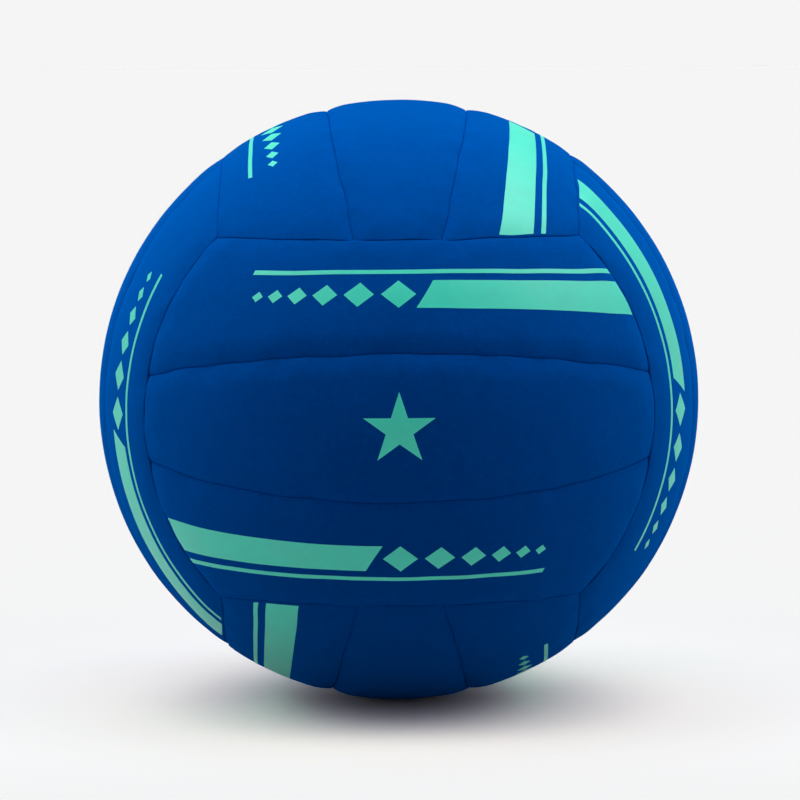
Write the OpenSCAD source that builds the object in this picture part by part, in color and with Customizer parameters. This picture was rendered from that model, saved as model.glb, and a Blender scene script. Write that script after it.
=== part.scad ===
// Indoor volleyball with eighteen sewn and padded strips over a rubber bladder.
// The strips lie in six groups of three, and each group runs square to its neighbours.
// The front group faces -Y, +Z is up, and the ball stands on the origin.

/* [Ball] */
// Diameter of the inflated ball
ball_d = 212; // [195:1:230]
// Depth of the flat that the ball rests on
rest_depth = 0.5; // [0.3:0.1:1]

/* [Covers] */
// Half the width of a middle strip at its widest place
middle_half_w = 24.7; // [21:0.1:28]
// Thickness of a cover
cover_t = 1.6; // [1.2:0.1:2]
// Thickness of a cover's edge where it turns in at a seam
hem_t = 1.2; // [0.8:0.1:1.6]
// How far the surface drops at a seam
seam_drop = 1.3; // [0.6:0.1:1.8]
// Width of the rounded shoulder beside a seam
shoulder_w = 6.5; // [4:0.5:9]
// Gap between two covers sewn together
seam_gap = 0.1; // [0.04:0.02:0.2]

/* [Padding and stitching] */
// Thickness of the foam padding
padding_t = 3.5; // [2.5:0.1:5]
// Gap that glue fills between two layers
glue_t = 0.1; // [0.04:0.02:0.2]
// Thickness of the sewing thread
thread_d = 0.6; // [0.4:0.05:0.9]

/* [Bladder] */
// Thickness of the rubber bladder
bladder_t = 1; // [0.6:0.1:1.6]

/* [Valve] */
// Radius of the valve's round face in the cover
valve_face_r = 3.5; // [3:0.1:4.5]
// How far the valve's face lies below the cover
valve_recess = 0.4; // [0.2:0.1:0.8]
// Thickness of the step from the valve's face to its stem
valve_step = 1; // [0.6:0.1:1.4]
// Radius of the flange inside the bladder
flange_r = 11; // [9:0.5:14]
// Thickness of the flange
flange_t = 1.2; // [0.8:0.1:2]
// How far the valve's tail reaches into the bladder
tail_len = 14; // [12:0.5:18]
// Radius of the plug inside the valve
core_r = 2.2; // [2:0.1:2.4]
// Radius of the air passage below the plug
passage_r = 0.8; // [0.5:0.1:1.2]
// Height of the bead that locks the plug
bead_h = 1.5; // [1:0.1:2]
// How far the bead stands out of the plug
bead_w = 0.6; // [0.3:0.1:0.8]
// Radius of the port for the inflating needle
needle_r = 1; // [0.8:0.05:1.2]
// Length of the port below its lead-in
needle_len = 6; // [5:0.5:8]
// Height of the port's conical lead-in
lead_in = 0.6; // [0.4:0.1:1]
// Width of the patch around the valve on the bladder
patch_w = 10; // [7:0.5:14]
// Thickness of the patch
patch_t = 0.8; // [0.6:0.1:1.2]
// Width of the collar around the valve under the cover
collar_w = 4; // [3:0.5:6]
// Thickness of the collar
collar_t = 1.2; // [0.8:0.1:1.6]
// Clearance around the valve's parts
valve_fit = 0.1; // [0.05:0.05:0.2]

/* [Hidden] */
$fn = 128;
ball_r = ball_d / 2;

// Radii of the layers, from the outside in
cover_in_r = ball_r - cover_t;
padding_out_r = cover_in_r - glue_t;
padding_in_r = padding_out_r - padding_t;
thread_r = padding_in_r + thread_d / 2;
hem_in_r = padding_in_r + thread_d + glue_t;
bladder_out_r = padding_in_r - glue_t;
bladder_in_r = bladder_out_r - bladder_t;

// Seams between groups are circles at this latitude around each axis, so that three meet at each corner
corner_lat = asin(1 / sqrt(3));
// A sphere through such a circle that is square to the ball gives the seam its two walls
wall_r = ball_r / tan(corner_lat);
wall_centre = ball_r / sin(corner_lat);
// The two seams inside a group lie on planes through the centre, tilted by this angle
strip_tilt = asin(middle_half_w / ball_r);
// The shoulder's arc starts this far above the ball's surface and ends this far past the seam
shoulder_rise = seam_drop / 25;
shoulder_overrun_angle = 8;
// The ring that cuts a shoulder starts and ends at these shares of its arc's radius
ring_shares = [0.93, 1.85];
// Length that reaches outside the ball
reach = 3 * ball_r;

// The valve's radii around its own axis
stem_r = valve_face_r + valve_step;
cover_hole_r = valve_face_r + valve_fit;
collar_r = cover_hole_r + collar_w;
patch_in_r = stem_r + valve_fit;
patch_r = patch_in_r + patch_w;
core_bore_r = core_r + valve_fit;

// The valve's heights, measured from the ball's centre
face_h = ball_r - valve_recess;
collar_top_h = sqrt(pow(padding_out_r, 2) - pow(collar_r, 2));
collar_h = collar_top_h - collar_t;
shoulder_h = collar_h - glue_t;
tail_h = bladder_in_r - tail_len;
core_seat_h = tail_h + flange_t;
core_h = core_seat_h + valve_fit;
core_top_h = face_h - valve_fit;
port_top_h = core_top_h - lead_in;
port_h = port_top_h - needle_len;
bead_low_h = (core_h + port_h - bead_h) / 2;
patch_in_level = bladder_out_r + glue_t / 2;
patch_out_level = patch_in_level + patch_t;

cover_colour = [0.03, 0.3, 0.62];
padding_colour = [0.86, 0.86, 0.82];
thread_colour = [0.05, 0.12, 0.3];
bladder_colour = [0.12, 0.12, 0.13];
valve_colour = [0.16, 0.16, 0.17];

// Each group with the names of its two outer strips
GROUPS = [
  ["front", "upper", "lower"],
  ["back", "upper", "lower"],
  ["top", "right", "left"],
  ["bottom", "right", "left"],
  ["left", "back", "front"],
  ["right", "back", "front"]
];
// The strips of a group: 1 and -1 are the outer ones and 0 is the middle one
STRIPS = [1, 0, -1];

function strip_name(group, strip) = strip == 0 ? "middle" : strip == 1 ? group[1] : group[2];
function strip_node(kind, group, strip) = str(kind, "_", group[0], "_", strip_name(group, strip));
function stitching_node(group) = str("stitching_", group[0]);

function direction(angle) = [cos(angle), sin(angle)];
function turned(point, angle) = [
  cos(angle) * point[0] - sin(angle) * point[1],
  sin(angle) * point[0] + cos(angle) * point[1]
];
// Degrees that a length spans on a circle of the given radius
function span(length, radius) = length / radius * 180 / PI;

// Stands the ball on the origin
module standing() {
  translate([0, 0, ball_r - rest_depth]) children();
}

// Turns the front group's shapes into those of another group
module in_group(name) {
  if (name == "front") children();
  if (name == "back") rotate([0, 0, 180]) children();
  if (name == "bottom") rotate(a = 120, v = [1, 1, 1]) children();
  if (name == "top") rotate([180, 0, 0]) rotate(a = 120, v = [1, 1, 1]) children();
  if (name == "left") rotate(a = -120, v = [1, 1, 1]) children();
  if (name == "right") rotate([0, 180, 0]) rotate(a = -120, v = [1, 1, 1]) children();
}

// Turns shapes made around +Z to the valve's place in the middle of the back group
module at_valve() {
  rotate([-90, 0, 0]) children();
}

// A ring that takes the corner off the ball beside a circle of latitude
// It lies below the circle where side is 1, and above it where side is -1
module shoulder_ring(latitude, side) {
  edge = (ball_r - seam_drop) * direction(latitude);
  crest_way = direction(latitude - side * span(shoulder_w, ball_r));
  crest = (ball_r + shoulder_rise) * crest_way;
  arc_r = pow(norm(edge - crest), 2) / (2 * (crest - edge) * crest_way);
  centre = crest - arc_r * crest_way;
  last_way = turned((edge - centre) / arc_r, side * shoulder_overrun_angle);
  near = ring_shares[0] * arc_r;
  far = ring_shares[1] * arc_r;
  rotate_extrude()
    difference() {
      polygon([centre, centre + near * crest_way, centre + far * (crest_way + last_way), centre + near * last_way]);
      translate(centre) circle(arc_r);
    }
}

// Everything below a level plane
module below(level) {
  translate([-reach, -reach, level - 2 * reach]) cube(2 * reach);
}

// The space of one strip of the front group, drawn in on all sides by inset
module strip_space(strip, inset) {
  if (strip == 0)
    intersection() {
      translate([0, -wall_centre, 0]) sphere(wall_r - inset);
      rotate([-strip_tilt, 0, 0]) below(-inset);
      mirror([0, 0, 1]) rotate([-strip_tilt, 0, 0]) below(-inset);
    }
  else
    difference() {
      intersection() {
        translate([0, -wall_centre, 0]) sphere(wall_r - inset);
        rotate([180 - strip_tilt, 0, 0]) below(-inset);
      }
      translate([0, 0, wall_centre]) sphere(wall_r + inset);
    }
}

// The rounded shoulders along the edges of one strip of the front group
module strip_shoulders(strip) {
  rotate([90, 0, 0]) shoulder_ring(corner_lat, -1);
  if (strip == 0) {
    rotate([-strip_tilt, 0, 0]) shoulder_ring(0, 1);
    mirror([0, 0, 1]) rotate([-strip_tilt, 0, 0]) shoulder_ring(0, 1);
  } else {
    shoulder_ring(corner_lat, 1);
    rotate([180 - strip_tilt, 0, 0]) shoulder_ring(0, 1);
  }
}

// One cover of the front group, with its edges turned in
module cover_blank(strip) {
  difference() {
    intersection() {
      sphere(ball_r);
      strip_space(strip, seam_gap / 2);
    }
    strip_shoulders(strip);
    sphere(hem_in_r);
    intersection() {
      sphere(cover_in_r);
      strip_space(strip, hem_t);
    }
  }
}

// One foam padding of the front group, which fills its cover
module padding_blank(strip) {
  difference() {
    intersection() {
      sphere(padding_out_r);
      strip_space(strip, hem_t + glue_t);
    }
    sphere(padding_in_r);
  }
}

// Mirrors an outer strip to the other side of its group
module on_side(strip) {
  if (strip == -1) mirror([0, 0, 1]) children();
  else children();
}

module cover(group, strip) {
  has_valve = group[0] == "back" && strip == 0;
  carries_ball = group[0] == "bottom" && strip == 0;
  color(cover_colour)
    standing()
      difference() {
        in_group(group[0]) on_side(strip) cover_blank(abs(strip));
        if (has_valve) at_valve() cylinder(h = reach, r = cover_hole_r);
        if (carries_ball) below(rest_depth - ball_r);
      }
}

module padding(group, strip) {
  has_valve = group[0] == "back" && strip == 0;
  color(padding_colour)
    standing()
      difference() {
        in_group(group[0]) on_side(strip) padding_blank(abs(strip));
        if (has_valve) at_valve() valve_pocket();
      }
}

// The room in the padding for the stem, the collar and the patch
module valve_pocket() {
  cylinder(h = reach, r = stem_r + valve_fit);
  translate([0, 0, shoulder_h]) cylinder(h = reach, r = collar_r + valve_fit);
  intersection() {
    sphere(patch_out_level + glue_t);
    cylinder(h = reach, r = patch_r + valve_fit);
  }
}

// Thread along the two seams inside a group and along the group's two long edges
module stitching(group) {
  thread_end = thread_d + glue_t;
  seam_angle = acos(sin(corner_lat) / cos(strip_tilt)) - span(thread_end, thread_r);
  edge_ring_r = thread_r * cos(corner_lat);
  edge_angle = 45 - span(thread_end, edge_ring_r);
  color(thread_colour)
    standing()
      in_group(group[0])
        for (side = [1, -1]) {
          rotate([side * -strip_tilt, 0, 0]) thread_arc(thread_r, seam_angle);
          translate([0, 0, side * thread_r * sin(corner_lat)]) thread_arc(edge_ring_r, edge_angle);
        }
}

// A stretch of thread around +Z, half_angle to each side of the front
module thread_arc(ring_r, half_angle) {
  rotate([0, 0, -90 - half_angle])
    rotate_extrude(angle = 2 * half_angle)
      translate([ring_r, 0]) circle(d = thread_d);
}

module bladder() {
  color(bladder_colour)
    standing()
      difference() {
        sphere(bladder_out_r);
        sphere(bladder_in_r);
        at_valve() cylinder(h = reach, r = stem_r + valve_fit);
      }
}

// Rubber body of the valve, bonded into the bladder by its flange
module valve_housing() {
  flange_level = bladder_in_r - glue_t;
  color(valve_colour)
    standing()
      at_valve()
        difference() {
          union() {
            translate([0, 0, tail_h]) cylinder(h = shoulder_h - tail_h, r = stem_r);
            translate([0, 0, tail_h]) cylinder(h = face_h - tail_h, r = valve_face_r);
            intersection() {
              difference() {
                sphere(flange_level);
                sphere(flange_level - flange_t);
              }
              cylinder(h = reach, r = flange_r);
            }
          }
          cylinder(h = reach, r = passage_r);
          translate([0, 0, core_seat_h]) cylinder(h = reach, r = core_bore_r);
          translate([0, 0, bead_low_h - valve_fit]) cylinder(h = bead_h + 2 * valve_fit, r = core_bore_r + bead_w);
        }
}

// Soft plug that takes the inflating needle and seals behind it
module valve_core() {
  color(bladder_colour)
    standing()
      at_valve()
        difference() {
          union() {
            translate([0, 0, core_h]) cylinder(h = core_top_h - core_h, r = core_r);
            translate([0, 0, bead_low_h]) cylinder(h = bead_h, r = core_r + bead_w);
          }
          translate([0, 0, port_h]) cylinder(h = reach, r = needle_r);
          translate([0, 0, port_top_h]) cylinder(h = lead_in, r1 = needle_r, r2 = needle_r + lead_in);
        }
}

// Reinforcing patch on the outside of the bladder
module valve_patch() {
  color(valve_colour)
    standing()
      at_valve()
        intersection() {
          difference() {
            sphere(patch_out_level);
            sphere(patch_in_level);
            cylinder(h = reach, r = patch_in_r);
          }
          cylinder(h = reach, r = patch_r);
        }
}

// Collar that holds the valve's neck under the cover
module valve_collar() {
  color(valve_colour)
    standing()
      at_valve()
        difference() {
          translate([0, 0, collar_h]) cylinder(h = collar_t, r = collar_r);
          cylinder(h = reach, r = cover_hole_r);
        }
}

for (group = GROUPS) {
  for (strip = STRIPS) {
    cover(group, strip);
    padding(group, strip);
  }
  stitching(group);
}
bladder();
valve_housing();
valve_core();
valve_patch();
valve_collar();
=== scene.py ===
"""Soft indoor volleyball: padded fabric strips sewn over a rubber bladder, on a pale studio floor."""

import math

import bpy
import numpy as np
from bpy.props import FloatProperty, FloatVectorProperty, IntProperty, PointerProperty
from bpy.types import NodeSocket, Operator, Panel, PropertyGroup
from mathutils import Matrix, Vector, noise


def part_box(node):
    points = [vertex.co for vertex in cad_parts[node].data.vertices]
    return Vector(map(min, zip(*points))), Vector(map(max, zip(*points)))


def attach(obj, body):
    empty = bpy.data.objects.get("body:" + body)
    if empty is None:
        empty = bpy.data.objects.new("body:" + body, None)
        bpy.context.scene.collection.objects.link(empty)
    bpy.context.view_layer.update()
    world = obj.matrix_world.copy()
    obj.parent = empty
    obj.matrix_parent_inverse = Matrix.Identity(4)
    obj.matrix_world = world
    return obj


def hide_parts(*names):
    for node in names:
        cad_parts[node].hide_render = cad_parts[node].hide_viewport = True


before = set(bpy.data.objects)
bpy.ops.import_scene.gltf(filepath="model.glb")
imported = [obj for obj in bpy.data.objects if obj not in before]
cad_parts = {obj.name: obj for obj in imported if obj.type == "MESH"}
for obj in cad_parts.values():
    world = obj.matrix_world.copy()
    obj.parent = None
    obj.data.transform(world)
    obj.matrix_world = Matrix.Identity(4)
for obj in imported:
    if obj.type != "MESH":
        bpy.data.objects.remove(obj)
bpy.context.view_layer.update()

bl_info = {
    "name": "Padded volleyball",
    "version": (1, 0, 0),
    "blender": (4, 5, 0),
    "location": "View3D > Sidebar > Volleyball",
    "description": "Makes the covers, foam, stitching, valve and prints of a soft volleyball, and its studio",
    "category": "Add Mesh",
}

# Seams between groups are circles at this latitude around each axis
CORNER_LATITUDE = math.asin(1 / math.sqrt(3))

# Turns that take the front group of three strips to each group
DIAGONAL = Vector((1, 1, 1))
THIRD_TURN = math.radians(120)
GROUPS = {
    "front": Matrix.Identity(4),
    "back": Matrix.Rotation(math.pi, 4, "Z"),
    "top": Matrix.Rotation(math.pi, 4, "X") @ Matrix.Rotation(THIRD_TURN, 4, DIAGONAL),
    "bottom": Matrix.Rotation(THIRD_TURN, 4, DIAGONAL),
    "left": Matrix.Rotation(-THIRD_TURN, 4, DIAGONAL),
    "right": Matrix.Rotation(math.pi, 4, "Y") @ Matrix.Rotation(-THIRD_TURN, 4, DIAGONAL),
}

# Side 0 is a group's middle strip, and sides 1 and -1 are its outer strips, which mirror each other
SIDES = (1, 0, -1)
STRIPS = [(group, side) for group in GROUPS for side in SIDES]
STRIP_NAMES = {
    **dict.fromkeys(("front", "back"), ("upper", "middle", "lower")),
    **dict.fromkeys(("top", "bottom"), ("right", "middle", "left")),
    **dict.fromkeys(("left", "right"), ("back", "middle", "front")),
}
MIRROR_UPRIGHT = Matrix.Scale(-1, 4, Vector((0, 0, 1)))

# Half lengths of the strips as shares of the ball's radius
OUTER_HALF_LENGTH = 0.89
MIDDLE_HALF_LENGTH = 0.955

# Width of an outer strip on the fabric map, with half a middle strip as 1
OUTER_MAP_WIDTH = 1.65

# Grid lines of a strip, by distance from its edges and from its round hole, and in shares of the hole
EDGE_STEPS = (0, 0.00006, 0.00016, 0.0003, 0.00048, 0.0009, 0.0015, 0.0023, 0.0033, 0.0045, 0.006)
HOLE_STEPS = (0, 0.0001, 0.00025, 0.00045, 0.0009, 0.0016)
HOLE_SHARES = (0.75, 0.5, 0.25, 0)

# Spacing of the other grid lines, and rows of a turned-in edge in shares of its depth
COVER_STEP = 0.0013
PADDING_STEP = 0.0034
HEM_SHARES = (0.35, 1)

# Puckers and waves of the soft surface, and how far they may lift it
PUCKER_REACH = 0.006
LONG_WAVE = 0.026
SHORT_WAVE = 0.013
WAVE_LEVEL = 0.6
HIGHEST_LIFT = 0.0003
WANDER_SHIFTS = (Vector((0, 0, 0)), Vector((17.3, 5.1, 9.7)), Vector((-8.9, 21.4, 3.3)))


def length_setting(name, description, default):
    """Property for a length"""
    return FloatProperty(name=name, description=description, default=default, unit="LENGTH")


def angle_setting(name, description, degrees):
    """Property for an angle, whose default is given in degrees"""
    return FloatProperty(name=name, description=description, default=math.radians(degrees), subtype="ANGLE")


def amount_setting(name, description, default, lowest=0):
    """Property for a strength or another plain number"""
    return FloatProperty(name=name, description=description, default=default, min=lowest)


def colour_setting(name, description, default):
    """Property for a colour"""
    return FloatVectorProperty(
        name=name, description=description, default=default, subtype="COLOR", min=0, max=1
    )


class BallSizes(PropertyGroup):
    """Sizes of the ball and its layers"""

    radius: length_setting("Radius", "Radius of the inflated ball", 0.106)
    strip_half_width: length_setting("Middle strip", "Half the width of a middle strip", 0.0247)
    cover_thickness: length_setting("Cover", "Thickness of a cover", 0.0016)
    hem_thickness: length_setting("Hem", "Thickness of a cover's turned-in edge", 0.0012)
    hem_end_radius: length_setting("Hem end", "Distance of a hem's end from the ball's centre", 0.1015)
    seam_gap: length_setting("Seam gap", "Gap between two covers sewn together", 0.0001)
    seam_drop: length_setting("Seam drop", "How far the surface drops at a seam inside a group", 0.0012)
    border_drop: length_setting("Border drop", "How far the surface drops at a seam between groups", 0.0005)
    shoulder_width: length_setting("Shoulder", "Width of the soft shoulder beside a seam", 0.008)
    edge_roll: length_setting("Edge roll", "Radius of the fold where a cover turns in", 0.0004)
    pucker_height: length_setting("Puckers", "Height of the small puckers across a seam", 0.00042)
    pucker_length: length_setting("Pucker spacing", "Length along a seam that one pucker takes", 0.0085)
    seam_wander: length_setting("Seam wander", "How far a seam strays sideways from its true line", 0.0006)
    unevenness: length_setting("Unevenness", "Height of the slow waves in a padded strip", 0.0002)
    glue_gap: length_setting("Glue", "Gap that glue fills between two layers", 0.0001)
    padding_thickness: length_setting("Padding", "Thickness of the foam", 0.0035)
    thread_diameter: length_setting("Thread", "Thickness of the sewing thread", 0.0006)
    stitch_length: length_setting("Stitch", "Length of one stitch", 0.0042)
    print_height: length_setting("Print", "Height of the printed film above the cover", 0.00005)
    valve_face_radius: length_setting("Valve face", "Radius of the valve's round face", 0.0035)
    rest_depth: length_setting("Rest flat", "Depth of the flat that the ball rests on", 0.0005)


class BallColours(PropertyGroup):
    """Colours of the ball's materials"""

    cover: colour_setting("Cover", "Blue of the knitted cover", (0.0, 0.043, 0.262))
    sheen: colour_setting("Sheen", "Tint of the soft fibres seen at a low angle", (0.0, 0.225, 0.95))
    print_film: colour_setting("Print", "Turquoise of the printed marks", (0.04, 0.93, 0.7))
    padding: colour_setting("Padding", "Pale colour of the foam", (0.72, 0.7, 0.6))
    thread: colour_setting("Thread", "Colour of the sewing thread", (0.02, 0.05, 0.18))
    rubber: colour_setting("Rubber", "Colour of the bladder and the valve", (0.018, 0.018, 0.02))
    floor: colour_setting("Floor", "Pale colour of the floor and the background", (0.913, 0.913, 0.913))


class StudioSettings(PropertyGroup):
    """Light and camera"""

    glow: amount_setting("Glow", "Light from low down behind", 0.82)
    glow_height: amount_setting("Glow height", "Height that the glow reaches", 0.45, 0.01)
    top_box: amount_setting("Top box", "Light of the broad box overhead", 6.3)
    top_box_tilt: angle_setting("Top box tilt", "How far the top box leans behind the ball", 12)
    side_boxes: amount_setting("Side boxes", "Light of the boxes on both sides", 3.55)
    side_box_height: angle_setting("Side box height", "Height of the side boxes as an angle", 50)
    floor_gain: amount_setting("Floor gain", "Brightness of the floor as seen", 0.7996)
    # The near and wide floor gains are painted light, added to the floor's colour around the ball
    near_floor_painted_light: amount_setting("Near floor", "What is added to the floor's gain under the ball", 0.8725)
    wide_floor_painted_light: amount_setting("Wide floor", "What is added in a broad oval around the ball", 0.1856)
    floor_return: amount_setting("Floor return", "Share of light that the floor throws back", 0.34)
    lens: amount_setting("Lens", "Focal length of the camera in mm", 163.6, 1)
    distance: length_setting("Distance", "From the camera to the ball's centre", 1.289)
    elevation: angle_setting("Elevation", "Height of the camera as an angle", 5.42)
    seed: IntProperty(name="Seed", description="Start of the random puckers and stitches", default=7, min=0)


# Shape of a strip


def strip_tilt(sizes):
    """Angle from a middle strip's centre line to its edge"""
    return math.asin(sizes.strip_half_width / sizes.radius)


def strip_directions(sizes, outer, along, across, inset):
    """Unit vectors from the ball's centre to places on a strip of the front group

    along runs from -1 to 1 between the ends, and across from -1 to 1, or from 0 at the inner edge
    to 1 at the outer edge of an outer strip. All edges are drawn in by inset.
    """
    tilt = strip_tilt(sizes)
    in_angle = inset / sizes.radius
    if outer:
        elevation = tilt + in_angle + across * (CORNER_LATITUDE - tilt - 2 * in_angle)
        theta = tilt * (1 - across)
        offset = np.sin(elevation - theta)
    else:
        theta = across * tilt
        offset = -np.sin(across * in_angle)
    ring = np.sqrt(1 - offset ** 2)
    end = (math.sin(CORNER_LATITUDE + in_angle) + offset * np.sin(theta)) / (ring * np.cos(theta))
    angle = along * np.arccos(np.clip(end, -1, 1))
    return np.stack(
        [
            ring * np.sin(angle),
            offset * np.sin(theta) - ring * np.cos(angle) * np.cos(theta),
            offset * np.cos(theta) + ring * np.cos(angle) * np.sin(theta),
        ],
        axis=-1,
    )


def seam_distances(sizes, outer, way):
    """Distances from the two long edges and from the ends of a strip of the front group"""
    tilt = strip_tilt(sizes)
    above = np.arcsin(np.clip(way[:, 1] * math.sin(tilt) + way[:, 2] * math.cos(tilt), -1, 1))
    half_gap = sizes.seam_gap / 2
    ends = sizes.radius * (np.arcsin(np.clip(-way[:, 1], -1, 1)) - CORNER_LATITUDE) - half_gap
    if outer:
        first = sizes.radius * above - half_gap
        second = sizes.radius * (CORNER_LATITUDE - np.arcsin(way[:, 2])) - half_gap
    else:
        below = np.arcsin(np.clip(way[:, 1] * math.sin(tilt) - way[:, 2] * math.cos(tilt), -1, 1))
        first = -sizes.radius * above - half_gap
        second = -sizes.radius * below - half_gap
    return np.maximum(first, 0), np.maximum(second, 0), np.maximum(ends, 0)


def shoulder_drop(sizes, depth, distance):
    """How far the surface lies below the ball's round at a distance from a seam of this depth"""
    share = np.clip(1 - distance / sizes.shoulder_width, 0, 1)
    roll = np.clip(sizes.edge_roll - distance, 0, sizes.edge_roll)
    return depth * share ** 2 + sizes.edge_roll - np.sqrt(sizes.edge_roll ** 2 - roll ** 2)


def pucker_waves(sizes, seed, run, distance):
    """Small folds that cross a seam: run is the place along it and distance the way off it"""
    grip = np.exp(-((distance / PUCKER_REACH) ** 2))
    folds = [
        noise.noise(Vector((place / sizes.pucker_length, off / PUCKER_REACH / 2, seed)))
        for place, off in zip(run, distance)
    ]
    return grip * np.array(folds)


def surface_heights(sizes, seed, outer, way):
    """Height of a strip's soft surface above or below the ball's round, with its puckers and slow waves"""
    first, second, ends = seam_distances(sizes, outer, way)
    drops = np.stack([
        shoulder_drop(sizes, sizes.seam_drop, first),
        shoulder_drop(sizes, sizes.border_drop if outer else sizes.seam_drop, second),
        shoulder_drop(sizes, sizes.border_drop, ends),
    ])
    level, upright = way[:, 0] * sizes.radius, way[:, 2] * sizes.radius
    puckers = sum(
        pucker_waves(sizes, seed * 4 + row, run, distance)
        for row, (run, distance) in enumerate(((level, first), (level, second), (upright, ends)))
    )
    nearest = np.minimum(np.minimum(first, second), ends)
    hold = 1 - np.exp(-((nearest / (2 * PUCKER_REACH)) ** 2))
    shift = Vector((seed, 0, 0))
    waves = np.empty(len(way))
    for i, point in enumerate(way * sizes.radius):
        place = Vector(point)
        waves[i] = noise.noise(place / LONG_WAVE + shift) + 0.5 * noise.noise(place / SHORT_WAVE + shift)
    lift = sizes.pucker_height * puckers + sizes.unevenness * hold * (waves - WAVE_LEVEL)
    return np.minimum(lift, HIGHEST_LIFT) - np.sqrt((drops ** 2).sum(axis=0))


def wandered(sizes, outer, way, turn):
    """Unit vectors shifted a little sideways near the seams, alike for the strips on both sides"""
    nearest = np.minimum.reduce(seam_distances(sizes, outer, way))
    reach = sizes.seam_wander / sizes.radius * np.exp(-((nearest / SHORT_WAVE) ** 2))
    shift = np.array([
        [noise.noise(Vector(point) / SHORT_WAVE + apart) for apart in WANDER_SHIFTS]
        for point in way @ turn.T * sizes.radius
    ])
    moved = way + reach[:, None] * (shift @ turn)
    return moved / np.linalg.norm(moved, axis=1)[:, None]


def ball_centre(sizes):
    """The ball's centre above the place where it stands"""
    return Vector((0, 0, sizes.radius - sizes.rest_depth))


def strip_matrix(sizes, group, side):
    """Takes the front group's middle or upper strip to its place on the standing ball"""
    turn = GROUPS[group] @ MIRROR_UPRIGHT if side == -1 else GROUPS[group]
    return Matrix.Translation(ball_centre(sizes)) @ turn


def strip_name(kind, group, side):
    """Name of a piece of one strip, as the CAD nodes have it"""
    return f"{kind}_{group}_{STRIP_NAMES[group][SIDES.index(side)]}"


def strip_seed(studio, group, side):
    """Start of a strip's own random puckers"""
    return studio.seed + STRIPS.index((group, side))


# Meshes

# Angle from which an edge stays crisp, and the share of a hole's radius that is surely inside it
SHARP_ANGLE = math.radians(40)
HOLE_CORE = 0.995


def deselect_all():
    """Leaves object mode clean, with nothing selected"""
    if bpy.context.object and bpy.context.object.mode != "OBJECT":
        bpy.ops.object.mode_set(mode="OBJECT")
    bpy.ops.object.select_all(action="DESELECT")


def select_only(*pieces):
    """Selects these pieces alone, with the first as the active one"""
    deselect_all()
    for piece in pieces:
        piece.select_set(True)
    bpy.context.view_layer.objects.active = pieces[0]


def add_mesh_piece(name, points, edges, faces):
    """A new piece made of points, edges and faces"""
    mesh = bpy.data.meshes.new(name)
    mesh.from_pydata(points, edges, faces)
    piece = bpy.data.objects.new(name, mesh)
    bpy.context.collection.objects.link(piece)
    return piece


def name_piece(piece, name):
    """Gives a piece and its mesh the same name"""
    piece.name = name
    piece.data.name = name


def coordinates(mesh):
    """The mesh's vertices as an array"""
    points = np.empty(len(mesh.vertices) * 3)
    mesh.vertices.foreach_get("co", points)
    return points.reshape(-1, 3)


def place_vertices(mesh, points):
    """Moves all vertices of the mesh"""
    mesh.vertices.foreach_set("co", np.asarray(points, dtype=float).ravel())
    mesh.update()


def row_shares(half_width, step, hole_radius):
    """Places of rows from -1 to 1, close together at the edges and at a round hole's edge"""
    places = list(EDGE_STEPS)
    start = EDGE_STEPS[-1]
    stop = half_width - hole_radius - HOLE_STEPS[-1] if hole_radius else half_width
    count = max(1, round((stop - start) / step))
    places += [start + (stop - start) * i / count for i in range(1, count + 1)]
    if hole_radius:
        places += [half_width - hole_radius - s for s in reversed(HOLE_STEPS[:-1])]
        places += [half_width - hole_radius * s for s in HOLE_SHARES]
    half = [-1 + place / half_width for place in places[:-1]]
    return np.array(half + [0.0] + [-place for place in reversed(half)])


def add_strip_grid(name, sizes, outer, step, hole_radius):
    """Adds a flat grid with the lines of a strip, and returns it with its two shares at each vertex"""
    half_width = sizes.strip_half_width
    if outer:
        half_width = sizes.radius * (CORNER_LATITUDE - strip_tilt(sizes)) / 2
    half_length = sizes.radius * (OUTER_HALF_LENGTH if outer else MIDDLE_HALF_LENGTH)
    along = row_shares(half_length, step, hole_radius)
    across = row_shares(half_width, step, hole_radius)
    deselect_all()
    bpy.ops.mesh.primitive_grid_add(x_subdivisions=len(along) - 1, y_subdivisions=len(across) - 1, size=2)
    piece = bpy.context.object
    name_piece(piece, name)
    points = coordinates(piece.data)
    columns = np.rint((points[:, 0] + 1) / 2 * (len(along) - 1)).astype(int)
    rows = np.rint((points[:, 1] + 1) / 2 * (len(across) - 1)).astype(int)
    if outer:
        across = (across + 1) / 2
    return piece, along[columns], across[rows]


def put_in_place(piece, matrix):
    """Moves a mesh from the front group's frame to its place, with its faces outwards"""
    piece.data.transform(matrix)
    if matrix.determinant() < 0:
        piece.data.flip_normals()


def extrude_border(mesh):
    """Extrudes the mesh's open border, and returns the row that each new vertex was extruded from"""
    before = coordinates(mesh)
    bpy.ops.object.mode_set(mode="EDIT")
    bpy.ops.mesh.select_mode(type="EDGE")
    bpy.ops.mesh.select_all(action="DESELECT")
    bpy.ops.mesh.select_non_manifold(
        extend=False, use_wire=False, use_boundary=True, use_multi_face=False,
        use_non_contiguous=False, use_verts=False,
    )
    bpy.ops.mesh.extrude_region_move()
    bpy.ops.object.mode_set(mode="OBJECT")
    rows = {tuple(point): row for row, point in enumerate(before)}
    return np.array([rows[tuple(point)] for point in coordinates(mesh)[len(before):]])


def open_middle(mesh, hole_radius):
    """Takes the faces out of the round hole"""
    bpy.ops.object.mode_set(mode="EDIT")
    bpy.ops.mesh.select_mode(type="FACE")
    bpy.ops.mesh.select_all(action="DESELECT")
    bpy.ops.object.mode_set(mode="OBJECT")
    for face in mesh.polygons:
        middle = face.center
        face.select = middle.y < 0 and math.hypot(middle.x, middle.z) < hole_radius * HOLE_CORE
    bpy.ops.object.mode_set(mode="EDIT")
    bpy.ops.mesh.delete(type="ONLY_FACE")
    bpy.ops.object.mode_set(mode="OBJECT")


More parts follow.
